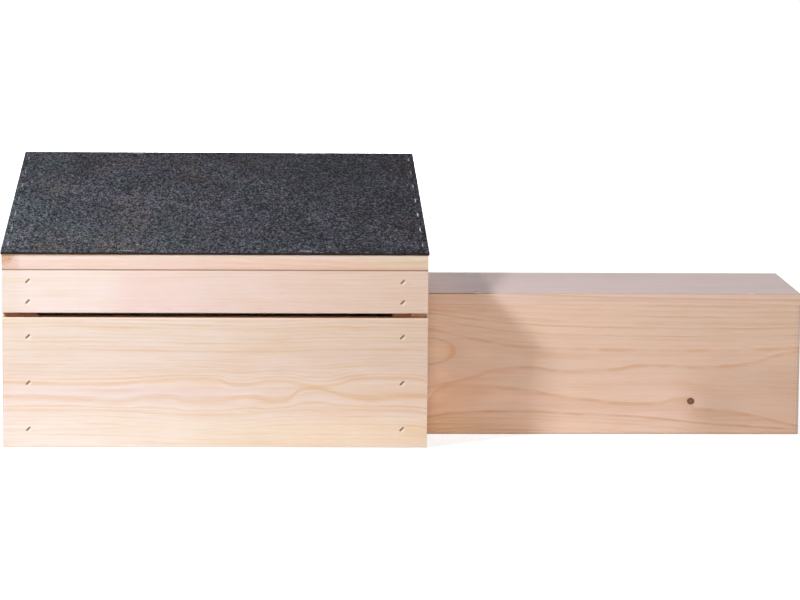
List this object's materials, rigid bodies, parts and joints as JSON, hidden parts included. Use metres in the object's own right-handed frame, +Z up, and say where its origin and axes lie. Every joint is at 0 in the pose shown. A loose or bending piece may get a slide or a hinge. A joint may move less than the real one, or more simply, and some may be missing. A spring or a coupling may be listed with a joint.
{
  "type": "hedgehog house",
  "caption": "Wooden hedgehog house: a felt-covered nest box with a lid hinged at the back and a long covered entrance tunnel on its right side.",
  "frame": {"origin": "centre of the nest box's underside, on the surface that the house stands on", "axes": "+X to the right along the front, towards the tunnel's open end; +Y from front to back; +Z up"},
  "size_m": [0.862, 0.4239, 0.2786],
  "materials": {
    "house_wood": "planed, untreated pine",
    "tunnel_wood": "planed, untreated pine",
    "inner_wood": "planed, untreated pine",
    "felt": "mineral-faced bitumen roofing felt, anthracite",
    "zinc_plated_steel": "zinc plated, satin",
    "staple_wire": "coated wire, dull",
    "felt_staple_wire": "galvanised wire"
  },
  "bodies": {
    "house": {"front_lower_board": "house_wood", "front_upper_board": "house_wood", "back_lower_board": "house_wood", "back_upper_board": "house_wood", "left_lower_board": "house_wood", "left_upper_board": "house_wood", "right_lower_board": "house_wood", "right_upper_board": "house_wood", "post_front_left": "inner_wood", "post_front_right": "inner_wood", "post_back_left": "inner_wood", "post_back_right": "inner_wood", "floor_board_front": "inner_wood", "floor_board_middle": "inner_wood", "floor_board_back": "inner_wood", "tunnel_front_board": "tunnel_wood", "tunnel_back_board": "tunnel_wood", "tunnel_top_board": "tunnel_wood", "hinge_wall_leaf_left": "zinc_plated_steel", "hinge_wall_leaf_right": "zinc_plated_steel", "hinge_pin_left": "zinc_plated_steel", "hinge_pin_right": "zinc_plated_steel", "front_staples": "staple_wire", "back_staples": "staple_wire", "left_staples": "staple_wire", "right_staples": "staple_wire", "tunnel_staples": "staple_wire", "tunnel_screws": "zinc_plated_steel", "hinge_wall_screws": "zinc_plated_steel"},
    "lid": {"lid_board_front": "house_wood", "lid_board_middle": "house_wood", "lid_board_back": "house_wood", "lid_batten_left": "inner_wood", "lid_batten_right": "inner_wood", "roof_felt": "felt", "felt_staples": "felt_staple_wire", "batten_screws": "zinc_plated_steel", "hinge_lid_screws": "zinc_plated_steel", "hinge_lid_leaf_left": "zinc_plated_steel", "hinge_lid_leaf_right": "zinc_plated_steel"}
  },
  "joints": [
    {"name": "lid_hinge", "type": "hinge", "parent": "house", "child": "lid", "pos_m": [0, 0.21, 0.25953], "axis": [-1, 0, 0], "range_deg": [0, 180]}
  ]
}
